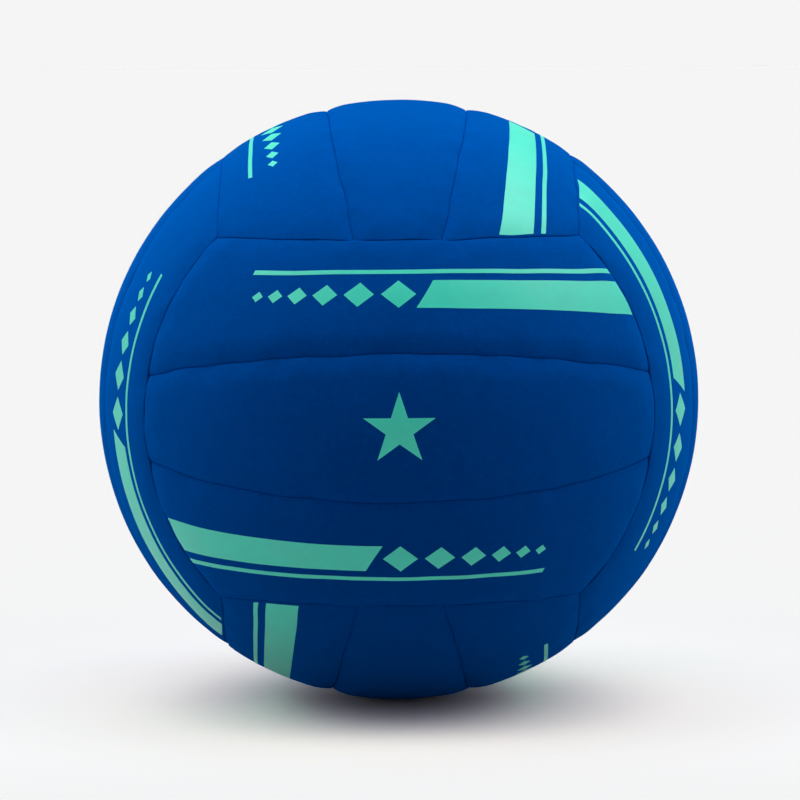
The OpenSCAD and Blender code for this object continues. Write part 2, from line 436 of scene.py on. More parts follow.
def close_sheet(piece, sizes, outer, faces, along, across):
    """Makes a sheet a closed shell between two faces, with a UV map in metres from its shares on a strip"""
    wall = piece.modifiers.new("Wall", "SOLIDIFY")
    wall.thickness = sizes.cover_thickness
    wall.offset = -1
    bpy.ops.object.modifier_apply(modifier=wall.name)
    mesh = piece.data
    place_vertices(mesh, np.concatenate(faces))
    while mesh.uv_layers:
        mesh.uv_layers.remove(mesh.uv_layers[0])
    width = sizes.strip_half_width * (OUTER_MAP_WIDTH if outer else 1)
    places = np.tile(np.stack([along * sizes.radius, across * width], axis=1), (2, 1))
    corners = np.empty(len(mesh.loops), dtype=np.int32)
    mesh.loops.foreach_get("vertex_index", corners)
    mesh.uv_layers.new(name="Fabric").data.foreach_set("uv", places[corners].ravel())


def rounded_about_middle(sizes, way, hole_radius):
    """Turns the square grid lines around the middle of the front strip into rings"""
    x, z = way[:, 0] * sizes.radius, way[:, 2] * sizes.radius
    square = np.maximum(np.abs(x), np.abs(z))
    true = np.maximum(np.hypot(x, z), 1e-9)
    blend = np.clip((square - hole_radius) / (3 * hole_radius), 0, 1)
    keep = blend ** 2 * (3 - 2 * blend)
    scale = keep + (1 - keep) * square / true
    x, z = way[:, 0] * scale, way[:, 2] * scale
    return np.stack([x, -np.sqrt(1 - x ** 2 - z ** 2), z], axis=1)


def shell_strip(name, sizes, outer, matrix, step, outer_face, inner_face, hem_radius=None, hole_radius=None):
    """Models a closed shell over a strip of the front group, and puts it in its place

    Each face is a pair: the inset of its edges, and a function that gives its distances from the
    ball's centre for unit vectors. With a hem radius the edges turn in and end there. With a hole
    radius the shell has a round hole in its middle.
    """
    piece, along, across = add_strip_grid(name, sizes, outer, step, hole_radius)
    turn = np.array(matrix.to_3x3())
    faces = []
    for inset, distances in (outer_face, inner_face):
        way = strip_directions(sizes, outer, along, across, inset)
        if hole_radius:
            way = rounded_about_middle(sizes, way, hole_radius)
        faces.append(wandered(sizes, outer, way, turn) * distances(way)[:, None])
    place_vertices(piece.data, faces[0])
    for share in HEM_SHARES if hem_radius else ():
        source = extrude_border(piece.data)
        for i, points in enumerate(faces):
            edge = points[source]
            reach = np.linalg.norm(edge, axis=1)
            lower = reach + (hem_radius - reach) * share
            faces[i] = np.concatenate([points, edge * (lower / reach)[:, None]])
        along = np.concatenate([along, along[source]])
        across = np.concatenate([across, across[source]])
        place_vertices(piece.data, faces[0])
    if hole_radius:
        open_middle(piece.data, hole_radius)
    close_sheet(piece, sizes, outer, faces, along, across)
    piece.data.shade_smooth()
    put_in_place(piece, matrix)
    return piece


def shade_with_edges(piece):
    """Shades a piece smooth, but for its sharp edges"""
    select_only(piece)
    bpy.ops.object.shade_smooth_by_angle(angle=SHARP_ANGLE)


def finish_piece(piece, material, node=None):
    """Gives a piece its material, hangs it on the ball's body and hides the CAD node that it stands for"""
    piece.data.materials.clear()
    piece.data.materials.append(material)
    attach(piece, "root")
    if node:
        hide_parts(node)


# Covers and paddings

# Radius of the foam's cut edges, and room between its hole and the valve's face
FOAM_EDGE = 0.0008
VALVE_ROOM = 0.0052

# The foam is pressed in over the valve's patch: the depth, how far out it is whole, and where it ends
PRESSED_DEPTH = 0.00085
PRESSED_RADIUS = 0.017
PRESSED_END = 0.022


def cover_surface(sizes, seed, outer):
    """Function that gives the distance of a cover's soft surface from the ball's centre"""
    return lambda way: sizes.radius + surface_heights(sizes, seed, outer, way)


def even_surface(distance):
    """Function that gives the same distance everywhere"""
    return lambda way: np.full(len(way), distance)


def foam_surface(sizes, outer, out_radius):
    """Function for the foam's outer face, whose cut edges are slightly rounded"""

    def distances(way):
        nearest = np.minimum.reduce(seam_distances(sizes, outer, way)) - sizes.hem_thickness
        roll = np.clip(FOAM_EDGE - nearest, 0, FOAM_EDGE)
        return out_radius - FOAM_EDGE + np.sqrt(FOAM_EDGE ** 2 - roll ** 2)

    return distances


def pressed_surface(sizes, in_radius):
    """Function for the foam's inner face where it lies over the valve's patch"""

    def distances(way):
        off_axis = np.hypot(way[:, 0], way[:, 2]) * sizes.radius
        share = np.clip((PRESSED_END - off_axis) / (PRESSED_END - PRESSED_RADIUS), 0, 1)
        return in_radius + PRESSED_DEPTH * share ** 2 * (3 - 2 * share)

    return distances


class VOLLEYBALL_OT_covers(Operator):
    """Models the eighteen fabric covers with their shoulders, puckers and turned-in edges"""

    bl_idname = "volleyball.covers"
    bl_label = "Covers"

    def execute(self, context):
        scene = context.scene
        sizes = scene.volleyball_sizes
        fabric = knit_fabric(scene.volleyball_colours)
        hole_radius = sizes.valve_face_radius + sizes.glue_gap
        for group, side in STRIPS:
            outer = side != 0
            seed = strip_seed(scene.volleyball_studio, group, side)
            name = strip_name("cover", group, side)
            piece = shell_strip(
                "sewn_" + name,
                sizes,
                outer,
                strip_matrix(sizes, group, side),
                COVER_STEP,
                (sizes.seam_gap / 2, cover_surface(sizes, seed, outer)),
                (sizes.hem_thickness, even_surface(sizes.radius - sizes.cover_thickness)),
                hem_radius=sizes.hem_end_radius,
                hole_radius=hole_radius if name == "cover_back_middle" else None,
            )
            if name == "cover_bottom_middle":
                points = coordinates(piece.data)
                points[:, 2] = np.maximum(points[:, 2], 0)
                place_vertices(piece.data, points)
            finish_piece(piece, fabric, name)
        return {"FINISHED"}


class VOLLEYBALL_OT_paddings(Operator):
    """Models the foam padding inside each cover"""

    bl_idname = "volleyball.paddings"
    bl_label = "Paddings"

    def execute(self, context):
        scene = context.scene
        sizes = scene.volleyball_sizes
        foam = padding_foam(scene.volleyball_colours)
        out_radius = sizes.radius - sizes.cover_thickness - sizes.glue_gap
        in_radius = out_radius - sizes.padding_thickness
        inset = sizes.hem_thickness + sizes.glue_gap
        for group, side in STRIPS:
            outer = side != 0
            name = strip_name("padding", group, side)
            at_valve = name == "padding_back_middle"
            piece = shell_strip(
                "foam_" + name,
                sizes,
                outer,
                strip_matrix(sizes, group, side),
                PADDING_STEP,
                (inset, foam_surface(sizes, outer, out_radius)),
                (inset, pressed_surface(sizes, in_radius) if at_valve else even_surface(in_radius)),
                hole_radius=sizes.valve_face_radius + VALVE_ROOM if at_valve else None,
            )
            finish_piece(piece, foam, name)
        return {"FINISHED"}


# Stitching

# Rings of a stitch from end to end, each with this many points
STITCH_RINGS = (-1, -0.82, -0.35, 0.35, 0.82, 1)
RING_POINTS = 6

# Length of a stitch and radius of its thread, as shares of the pitch and of the thread's thickness
STITCH_SHARE = 0.9
THREAD_SHARE = 0.46

# Dip of a stitch's ends in thread radii, and the area of its thread there with its middle's as 1
STITCH_DIP = 0.9
STITCH_TIP = 0.12

# How far the stitches slant, in radians, how much that varies, and the bare end of a seam
STITCH_SLANT = 0.09
SLANT_SPREAD = 0.02
SEAM_END = 0.0012


def one_stitch(length, radius):
    """Vertices and faces of one stitch along X: a thread that bulges and dips at its ends"""
    points = []
    for share in STITCH_RINGS:
        dip = radius * STITCH_DIP * share ** 4
        wide = radius * math.sqrt(max(STITCH_TIP, 1 - abs(share) ** 5))
        for i in range(RING_POINTS):
            angle = 2 * math.pi * i / RING_POINTS
            points.append((share * length / 2, wide * math.cos(angle), wide * math.sin(angle) - dip))
    faces = []
    for start in range(0, len(points) - RING_POINTS, RING_POINTS):
        for i in range(RING_POINTS):
            first, second = start + i, start + (i + 1) % RING_POINTS
            faces.append((first, second, second + RING_POINTS, first + RING_POINTS))
    faces.append(tuple(reversed(range(RING_POINTS))))
    faces.append(tuple(range(len(points) - RING_POINTS, len(points))))
    return np.array(points), faces


def seam_frame(turn, level, around, run):
    """Place at a run along a seam's ring, and the directions along the seam, beside it and outwards"""
    angle = run / around
    lean = np.array([
        [1, 0, 0],
        [0, math.cos(turn), math.sin(turn)],
        [0, -math.sin(turn), math.cos(turn)],
    ])
    place = lean @ np.array([around * math.sin(angle), -around * math.cos(angle), level])
    forward = lean @ np.array([math.cos(angle), math.sin(angle), 0])
    out = place / np.linalg.norm(place)
    return place, forward, np.cross(out, forward), out


def sewn_seam(sizes, rng, turn, level, around, length):
    """Points of each stitch in a row of this length on a seam's ring"""
    pitch = sizes.stitch_length
    stitch = one_stitch(pitch * STITCH_SHARE, sizes.thread_diameter * THREAD_SHARE)[0]
    count = int(length / pitch)
    stitches = []
    for k in range(count):
        place, forward, side, out = seam_frame(turn, level, around, (k + 0.5 - count / 2) * pitch)
        slant = rng.normal(STITCH_SLANT, SLANT_SPREAD)
        axes = np.stack([
            forward * math.cos(slant) + side * math.sin(slant),
            side * math.cos(slant) - forward * math.sin(slant),
            out,
        ])
        stitches.append(place + stitch @ axes)
    return stitches


class VOLLEYBALL_OT_stitching(Operator):
    """Sews a row of stitches along each seam, between the ends of the hems"""

    bl_idname = "volleyball.stitching"
    bl_label = "Stitching"

    def execute(self, context):
        scene = context.scene
        sizes = scene.volleyball_sizes
        thread = waxed_thread(scene.volleyball_colours)
        rng = np.random.default_rng(scene.volleyball_studio.seed)
        ring = sizes.hem_end_radius - sizes.glue_gap - sizes.thread_diameter / 2
        tilt = strip_tilt(sizes)
        inner_half = math.acos(math.sin(CORNER_LATITUDE) / math.cos(tilt)) * ring
        border_level = ring * math.sin(CORNER_LATITUDE)
        border_ring = math.sqrt(ring ** 2 - border_level ** 2)
        border_half = border_ring * math.pi / 4
        stitch_faces = one_stitch(1, 1)[1]
        for group in GROUPS:
            stitches = []
            for turn, level, around, half in (
                (tilt, 0, ring, inner_half),
                (-tilt, 0, ring, inner_half),
                (0, border_level, border_ring, border_half),
                (0, -border_level, border_ring, border_half),
            ):
                stitches += sewn_seam(sizes, rng, turn, level, around, 2 * (half - SEAM_END))
            points = np.concatenate(stitches)
            step = len(points) // len(stitches)
            faces = [
                tuple(i + start for i in face)
                for start in range(0, len(points), step)
                for face in stitch_faces
            ]
            piece = add_mesh_piece("stitches_" + group, points.tolist(), [], faces)
            piece.data.transform(strip_matrix(sizes, group, 0))
            piece.data.shade_smooth()
            finish_piece(piece, thread, "stitching_" + group)
        return {"FINISHED"}


# Prints

# Places on an outer strip, as shares of its half length and of its width
PRINT_END = 0.988
PRINT_MIDDLE = 0.5
STRIPE_START = 0.1
STRIPE_SLANT = 0.036
STRIPE_HALF_WIDTH = 0.12
LINE_START = -0.62
LINE_MIDDLE = 0.698
LINE_HALF_WIDTH = 0.018

# Place and half width of each diamond, and its half length with its half width as 1
DIAMONDS = ((0.0, 0.12), (-0.15, 0.105), (-0.28, 0.088), (-0.39, 0.071), (-0.48, 0.055), (-0.555, 0.042))
DIAMOND_LENGTH = 0.55

# Radius of the star's points, of its inner corners with that as 1, and the cuts of its mesh
STAR_RADIUS = 0.0125
STAR_WAIST = 0.382
STAR_CUTS = 7

# Cells along and across each printed shape
STRIPE_CELLS = (64, 8)
DIAMOND_CELLS = (8, 8)
LINE_CELLS = (96, 2)


def lay_film(film, sizes, seed, group, side, along, across):
    """Lays a flat mesh onto the cover's surface as a thin closed film"""
    outer = side != 0
    matrix = strip_matrix(sizes, group, side)
    way = strip_directions(sizes, outer, along, across, sizes.seam_gap / 2)
    surface = cover_surface(sizes, seed, outer)(way)
    way = wandered(sizes, outer, way, np.array(matrix.to_3x3()))
    faces = [way * (surface + height)[:, None] for height in (sizes.print_height, -sizes.print_height)]
    close_sheet(film, sizes, outer, faces, along, across)
    put_in_place(film, matrix)


def stripe_place(u, v):
    """Shares along and across a strip for a point of the stripe, which starts with a slant"""
    start = STRIPE_START + v * STRIPE_SLANT
    return start + (PRINT_END - start) * (u + 1) / 2, PRINT_MIDDLE + v * STRIPE_HALF_WIDTH


def line_place(u, v):
    """Shares along and across a strip for a point of the fine line"""
    return LINE_START + (u + 1) / 2 * (PRINT_END - LINE_START), LINE_MIDDLE + v * LINE_HALF_WIDTH


def diamond_place(middle, half_width):
    """Function that gives the shares along and across a strip for a point of a diamond"""
    return lambda u, v: (
        middle + (u + v) * 0.5 * half_width * DIAMOND_LENGTH,
        PRINT_MIDDLE + (v - u) * 0.5 * half_width,
    )


def print_strip(sizes, seed, group, side):
    """The printed stripe, its row of diamonds and its fine line on one outer strip"""
    patches = [(STRIPE_CELLS, stripe_place)]
    patches += [(DIAMOND_CELLS, diamond_place(*diamond)) for diamond in DIAMONDS]
    patches.append((LINE_CELLS, line_place))
    films = []
    for (columns, rows), place_of in patches:
        deselect_all()
        bpy.ops.mesh.primitive_grid_add(x_subdivisions=columns, y_subdivisions=rows, size=2)
        film = bpy.context.object
        if side < 0:
            film.data.flip_normals()
        points = coordinates(film.data)
        along, across = place_of(points[:, 0], points[:, 1])
        lay_film(film, sizes, seed, group, side, side * along, across)
        films.append(film)
    select_only(*films)
    bpy.ops.object.join()
    name_piece(films[0], strip_name("print", group, side))
    return films[0]


def print_star(sizes, seed):
    """A plain five-pointed star in the middle of the front strip"""
    deselect_all()
    bpy.ops.mesh.primitive_circle_add(vertices=10, radius=1, fill_type="TRIFAN")
    star = bpy.context.object
    name_piece(star, "print_front_star")
    points = coordinates(star.data)
    rim = np.hypot(points[:, 0], points[:, 1]) > 0.5
    spoke = np.rint((np.arctan2(points[:, 1], points[:, 0]) - math.pi / 2) / (math.pi / 5)).astype(int)
    reach = np.where(spoke % 2 == 0, 1, STAR_WAIST)
    turned = spoke * math.pi / 5
    corners = np.stack([-np.sin(turned) * reach, np.cos(turned) * reach, np.zeros(len(points))], axis=1)
    points[rim] = corners[rim]
    place_vertices(star.data, points)
    bpy.ops.object.mode_set(mode="EDIT")
    bpy.ops.mesh.select_all(action="SELECT")
    bpy.ops.mesh.subdivide(number_cuts=STAR_CUTS)
    bpy.ops.object.mode_set(mode="OBJECT")
    points = coordinates(star.data) * STAR_RADIUS
    theta = points[:, 1] / sizes.radius
    half_length = np.arccos(math.sin(CORNER_LATITUDE) / np.cos(theta))
    along = np.arcsin(points[:, 0] / sizes.radius) / half_length
    lay_film(star, sizes, seed, "front", 0, along, theta / strip_tilt(sizes))
    return star


class VOLLEYBALL_OT_prints(Operator):
    """Prints a stripe, shrinking diamonds and a fine line on each outer strip, and a star in front"""

    bl_idname = "volleyball.prints"
    bl_label = "Prints"

    def execute(self, context):
        scene = context.scene
        sizes = scene.volleyball_sizes
        film = print_film(scene.volleyball_colours)
        for group, side in STRIPS:
            if side:
                piece = print_strip(sizes, strip_seed(scene.volleyball_studio, group, side), group, side)
                shade_with_edges(piece)
                finish_piece(piece, film)
        star = print_star(sizes, strip_seed(scene.volleyball_studio, "front", 0))
        shade_with_edges(star)
        finish_piece(star, film)
        return {"FINISHED"}


# Bladder and valve

# The bladder's hole and wall, and its steps from the hole to the far pole, outside and inside
BLADDER_HOLE = 0.0046
BLADDER_WALL = 0.001
OUTSIDE_STEPS = 160
INSIDE_STEPS = 100

# Steps around the axis, and depth of the rubber's moulded grain
BLADDER_TURN_STEPS = 96
VALVE_TURN_STEPS = 48
BLADDER_GRAIN = 0.00006
VALVE_GRAIN = 0.0001

# Line that the bladder's mould leaves: its height, its width as an angle, and the room kept for it
MOULD_LINE_HEIGHT = 0.00005
MOULD_LINE_WIDTH = 0.008
MOULD_LINE_ROOM = 0.00006

# Steps of a rounded corner, and the share of a side that it may take
ROUNDING_STEPS = 4
ROUNDING_SHARE = 0.45


def turned_piece(name, profile, steps, centre):
    """Turns a closed profile of radius and height pairs around the valve's axis"""
    count = len(profile)
    sides = [(i, (i + 1) % count) for i in range(count)]
    piece = add_mesh_piece(name, [(radius, height, 0) for radius, height in profile], sides, [])
    select_only(piece)
    bpy.ops.object.mode_set(mode="EDIT")
    bpy.ops.mesh.select_all(action="SELECT")
    bpy.ops.mesh.spin(steps=steps, angle=2 * math.pi, center=(0, 0, 0), axis=(0, 1, 0), use_auto_merge=True)
    bpy.ops.mesh.select_all(action="SELECT")
    bpy.ops.mesh.remove_doubles(threshold=0.000001)
    bpy.ops.mesh.delete_loose(use_verts=True, use_edges=True, use_faces=False)
    bpy.ops.mesh.select_all(action="SELECT")
    bpy.ops.mesh.normals_make_consistent(inside=False)
    bpy.ops.object.mode_set(mode="OBJECT")
    piece.data.transform(Matrix.Translation(centre))
    return piece


def bladder_profile(radius, hole_angle, steps, line_height):
    """Radius and height pairs along a circle, from the hole to the far pole, with the mould's line"""
    points = []
    for i in range(steps + 1):
        angle = hole_angle + (math.pi - hole_angle) * i / steps
        reach = radius + line_height * math.exp(-((angle - math.pi / 2) / MOULD_LINE_WIDTH) ** 2)
        points.append((max(0, reach * math.sin(angle)), reach * math.cos(angle)))
    return points


class VOLLEYBALL_OT_bladder(Operator):
    """Models the rubber bladder with the line that its mould leaves"""

    bl_idname = "volleyball.bladder"
    bl_label = "Bladder"

    def execute(self, context):
        scene = context.scene
        rubber = moulded_rubber("smooth_rubber", scene.volleyball_colours, BLADDER_GRAIN)
        centre = ball_centre(scene.volleyball_sizes)
        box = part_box("bladder")
        out = (box[1][0] - box[0][0]) / 2
        inside = out - BLADDER_WALL
        hole_angle = math.asin(BLADDER_HOLE / out)
        outer = bladder_profile(out - MOULD_LINE_ROOM, hole_angle, OUTSIDE_STEPS, MOULD_LINE_HEIGHT)
        inner = bladder_profile(inside, math.asin(BLADDER_HOLE / inside), INSIDE_STEPS, 0)
        piece = turned_piece("blown_bladder", outer + inner[::-1], BLADDER_TURN_STEPS, centre)
        piece.data.shade_smooth()
        finish_piece(piece, rubber, "bladder")
        return {"FINISHED"}


def bowed(level, radii):
    """Rings with plain corners at these radii on a sphere around the ball's centre, in mm"""
    return [(radius, round(math.sqrt(level ** 2 - radius ** 2), 3), 0) for radius in radii]


# Rings of each valve piece in mm: radius, distance along the axis from the ball's centre, and rounding
HOUSING_RINGS = (
    (0.8, 85.7, 0.15), (4.5, 85.7, 0.6), (4.5, 98.297, 0.3), *bowed(98.4, (5.5, 7, 8.5)), (10, 97.89, 0),
    (11, 97.783, 0.5), (11, 98.991, 0.5), *bowed(99.6, (10, 8.5, 7, 5.5)), (4.5, 99.498, 0.3),
    (4.5, 102.723, 0.3), (3.5, 102.723, 0.1), (3.5, 105.6, 0.4), (2.3, 105.6, 0.3), (2.3, 93.8, 0.1),
    (2.9, 93.8, 0.1), (2.9, 92.1, 0.1), (2.3, 92.1, 0.1), (2.3, 86.9, 0.1), (0.8, 86.9, 0.1),
)
PLUG_RINGS = (
    (0, 87, 0), (2.2, 87, 0.3), (2.2, 92.2, 0.1), (2.8, 92.2, 0.2), (2.8, 93.7, 0.2), (2.2, 93.7, 0.1),
    (2.2, 105.5, 0.2), (1.6, 105.5, 0.15), (1, 104.9, 0.3), (1, 98.9, 0.1), (0, 98.9, 0),
)
COLLAR_RINGS = (
    (3.6, 102.823, 0.1), (7.6, 102.823, 0.2), (7.6, 104.023, 0.5), (3.6, 104.023, 0.1),
)
PATCH_RINGS = (
    (4.6, 100.645, 0.1), *bowed(100.75, (6.5, 8.5, 10.5, 12.5)), (14.6, 99.687, 0.1),
    (14.6, 100.495, 0.7), *bowed(101.55, (12.5, 10.5, 8.5, 6.5)), (4.6, 101.446, 0.2),
)
VALVE_PIECES = {
    "valve_housing": ("moulded_housing", HOUSING_RINGS),
    "valve_core": ("needle_plug", PLUG_RINGS),
    "valve_collar": ("neck_collar", COLLAR_RINGS),
    "valve_patch": ("bonded_patch", PATCH_RINGS),
}


def rounded_profile(rings):
    """Radius and height pairs in metres through rings in mm, with their corners rounded"""
    corners = [Vector((radius / 1000, height / 1000)) for radius, height, rounding in rings]
    points = []
    for row, corner in enumerate(corners):
        rounding = rings[row][2] / 1000
        if not rounding:
            points.append(tuple(corner))
            continue
        back = corners[row - 1] - corner
        ahead = corners[(row + 1) % len(corners)] - corner
        reach = min(rounding, back.length * ROUNDING_SHARE, ahead.length * ROUNDING_SHARE)
        start, stop = corner + back.normalized() * reach, corner + ahead.normalized() * reach
        for i in range(ROUNDING_STEPS + 1):
            share = i / ROUNDING_STEPS
            place = start * (1 - share) ** 2 + corner * 2 * share * (1 - share) + stop * share ** 2
            points.append(tuple(place))
    return points


class VOLLEYBALL_OT_valve(Operator):
    """Models the valve's housing, plug, collar and patch with rounded rims"""

    bl_idname = "volleyball.valve"
    bl_label = "Valve"

    def execute(self, context):
        scene = context.scene
        rubber = moulded_rubber("valve_rubber", scene.volleyball_colours, VALVE_GRAIN)
        centre = ball_centre(scene.volleyball_sizes)
        for node, (name, rings) in VALVE_PIECES.items():
            piece = turned_piece(name, rounded_profile(rings), VALVE_TURN_STEPS, centre)
            shade_with_edges(piece)
            finish_piece(piece, rubber, node)
        return {"FINISHED"}


# Materials

# Width of a column and height of a row of the knit's loops
KNIT_COLUMN = 0.00056
KNIT_ROW = 0.00042


def new_material(name):
    """A material with its node tree, its Principled shader and the place on the piece"""
    material = bpy.data.materials.new(name)
    material.use_nodes = True
    tree = material.node_tree
    place = add_node(tree, "TexCoord").outputs["Object"]
    return material, tree, tree.nodes["Principled BSDF"], place


def fill_inputs(tree, node, inputs):
    """Links or sets a node's inputs"""
    for key, value in inputs.items():
        if isinstance(value, NodeSocket):
            tree.links.new(value, node.inputs[key])
        else:
            node.inputs[key].default_value = value


def add_node(tree, kind, inputs=None, **settings):
    """Adds a shader node of this kind with its settings and inputs"""
    made = tree.nodes.new("ShaderNode" + kind)
    for key, value in settings.items():
        setattr(made, key, value)
    fill_inputs(tree, made, inputs or {})
    return made


def calculate(tree, operation, *values):
    """Output of a Math node"""
    return add_node(tree, "Math", dict(enumerate(values)), operation=operation).outputs[0]


def product(tree, first, *others):
    """Output of values multiplied by each other"""
    for other in others:
        first = calculate(tree, "MULTIPLY", first, other)
    return first


def vector_math(tree, operation, first, second):
    """Outputs of a Vector Math node"""
    return add_node(tree, "VectorMath", {0: first, 1: second}, operation=operation).outputs


def noise_value(tree, place, scale, detail=2.0, roughness=0.5):
    """Output of a Noise Texture node"""
    inputs = {"Vector": place, "Scale": scale, "Detail": detail, "Roughness": roughness}
    return add_node(tree, "TexNoise", inputs).outputs["Fac"]


def spread_value(tree, value, low, high, first=0.3, last=0.7):
    """Maps the middle of a value's range, from first to last, to new limits"""
    return add_node(tree, "MapRange", {0: value, 1: first, 2: last, 3: low, 4: high}).outputs[0]


def knit_height(tree):
    """Height of a fine knit on the fabric map, from 0 in its grooves to 1 on its loops"""
    place = add_node(tree, "UVMap", uv_map="Fabric").outputs[0]
    parts = add_node(tree, "SeparateXYZ", {0: place}).outputs
    stray = calculate(tree, "MULTIPLY", noise_value(tree, place, 900.0), 2.2)
    column = calculate(tree, "MULTIPLY", parts[0], 2 * math.pi / KNIT_COLUMN)
    row = calculate(tree, "MULTIPLY", parts[1], 2 * math.pi / KNIT_ROW)
    column_wave = calculate(tree, "SINE", calculate(tree, "ADD", column, stray))
    row_wave = calculate(tree, "SINE", calculate(tree, "ADD", row, column_wave))
    return calculate(tree, "MULTIPLY_ADD", product(tree, column_wave, row_wave), 0.5, 0.5)


def bump(tree, height, strength, distance):
    """Output of a bump from a height"""
    inputs = {"Strength": strength, "Distance": distance, "Height": height}
    return add_node(tree, "Bump", inputs).outputs[0]


def shaded(tree, colour, factor):
    """Output of the colour multiplied by a factor"""
    inputs = {0: tuple(colour), "Scale": factor}
    return add_node(tree, "VectorMath", inputs, operation="SCALE").outputs[0]


def knit_fabric(colours):
    """Blue microfibre knit with a soft nap that lightens at low angles"""
    material, tree, shader, place = new_material("knit_fabric")
    loops = knit_height(tree)
    fibres = noise_value(tree, place, 2600.0, 3.0, 0.7)
    naps = noise_value(tree, place, 420.0, 4.0, 0.65)
    patches = noise_value(tree, place, 45.0, 3.0, 0.6)
    shade = product(
        tree,
        spread_value(tree, patches, 0.94, 1.06),
        spread_value(tree, naps, 0.86, 1.14),
        spread_value(tree, fibres, 0.84, 1.16),
        # Painted shade: the knit's grooves are darker than its loops
        calculate(tree, "MULTIPLY_ADD", loops, 0.12, 0.94),
    )
    height = calculate(tree, "MULTIPLY_ADD", fibres, 0.6, loops)
    height = calculate(tree, "MULTIPLY_ADD", naps, 2.4, height)
    fill_inputs(tree, shader, {
        "Base Color": shaded(tree, colours.cover, shade),
        "Roughness": spread_value(tree, fibres, 0.82, 0.96),
        "Specular IOR Level": 0.0,
        "Sheen Weight": 1.0,
        "Sheen Roughness": 0.7,
        "Sheen Tint": (*colours.sheen, 1),
        "Normal": bump(tree, height, 0.4, 0.0001),
    })
    return material


def print_film(colours):
    """Smooth turquoise film through which the knit shows faintly, in its bumps and in painted shade in its
    grooves
    """
    material, tree, shader, place = new_material("print_film")
    loops = knit_height(tree)
    clouds = noise_value(tree, place, 120.0, 3.0, 0.6)
    # Painted shade: the film is a little darker over the knit's grooves
    painted_groove_shade = calculate(tree, "MULTIPLY_ADD", loops, 0.05, 0.96)
    shade = product(tree, painted_groove_shade, spread_value(tree, clouds, 0.96, 1.04))
    fill_inputs(tree, shader, {
        "Base Color": shaded(tree, colours.print_film, shade),
        "Roughness": spread_value(tree, clouds, 0.4, 0.5),
        "Specular IOR Level": 0.9,
        "Normal": bump(tree, loops, 0.12, 0.0001),
    })
    return material


def padding_foam(colours):
    """Pale foam with fine open pores, painted darker inside them as shade"""
    material, tree, shader, place = new_material("padding_foam")
    pores = add_node(tree, "TexVoronoi", {"Vector": place, "Scale": 1500.0}).outputs["Distance"]
    cloud_shade = spread_value(tree, noise_value(tree, place, 60.0), 0.9, 1.08)
    # Painted shade: the foam is darker in its pores
    shade = product(tree, cloud_shade, spread_value(tree, pores, 0.72, 1.0, 0.1, 0.6))
    fill_inputs(tree, shader, {
        "Base Color": shaded(tree, colours.padding, shade),
        "Roughness": 0.9,
        "Normal": bump(tree, pores, 0.6, 0.0002),
    })
    return material


def waxed_thread(colours):
    """Dark blue thread with fine fibres"""
    material, tree, shader, place = new_material("waxed_thread")
    fibres = noise_value(tree, place, 6000.0, 3.0)
    fill_inputs(tree, shader, {
        "Base Color": shaded(tree, colours.thread, spread_value(tree, fibres, 0.7, 1.35)),
        "Roughness": 0.55,
        "Normal": bump(tree, fibres, 0.5, 0.0001),
    })
    return material


def moulded_rubber(name, colours, grain):
    """Black rubber with a moulded grain of this depth"""
    material, tree, shader, place = new_material(name)
    specks = noise_value(tree, place, 3500.0, 3.0)
    bloom = noise_value(tree, place, 180.0, 3.0)
    fill_inputs(tree, shader, {
        "Base Color": shaded(tree, colours.rubber, spread_value(tree, bloom, 0.8, 1.3)),
        "Roughness": spread_value(tree, bloom, 0.42, 0.6),
        "Normal": bump(tree, specks, 0.35, grain),
    })
    return material


# Studio

# How sharply the light boxes end
BOX_SHARPNESS = 14.0

# Ovals of painted light on the floor, which lift the ball's shadow outside its dark core: reach along X and
# Y, how far they lie in front of the ball, fall, and the near oval's warm tint, which cancels the blue light
# thrown from the ball
NEAR_REACH = (0.101, 0.088)
NEAR_LEAN = 0.0198
NEAR_FALL = 7.0
NEAR_TINT = (1.125, 1.0, 0.83)
WIDE_REACH = (0.2754, 0.1276)
WIDE_LEAN = 0.0131
WIDE_FALL = 3.47

# Camera and picture: the ball's centre lies this many pixels right of and above the picture's middle
AIM_PIXELS = (-1.2, 0.7)
PICTURE_WIDTH = 800
SENSOR_WIDTH = 36
CAMERA_AZIMUTH = math.radians(-0.1)
CAMERA_ROLL = math.radians(0.39)
CLIP_END = 200
FLOOR_SIZE = 120


def sky_lobe(tree, way, towards, strength):
    """Output that is brightest in one direction of the sky"""
    facing = calculate(tree, "MAXIMUM", vector_math(tree, "DOT_PRODUCT", way, towards)["Value"], 0.0)
    return product(tree, calculate(tree, "POWER", facing, BOX_SHARPNESS), strength)


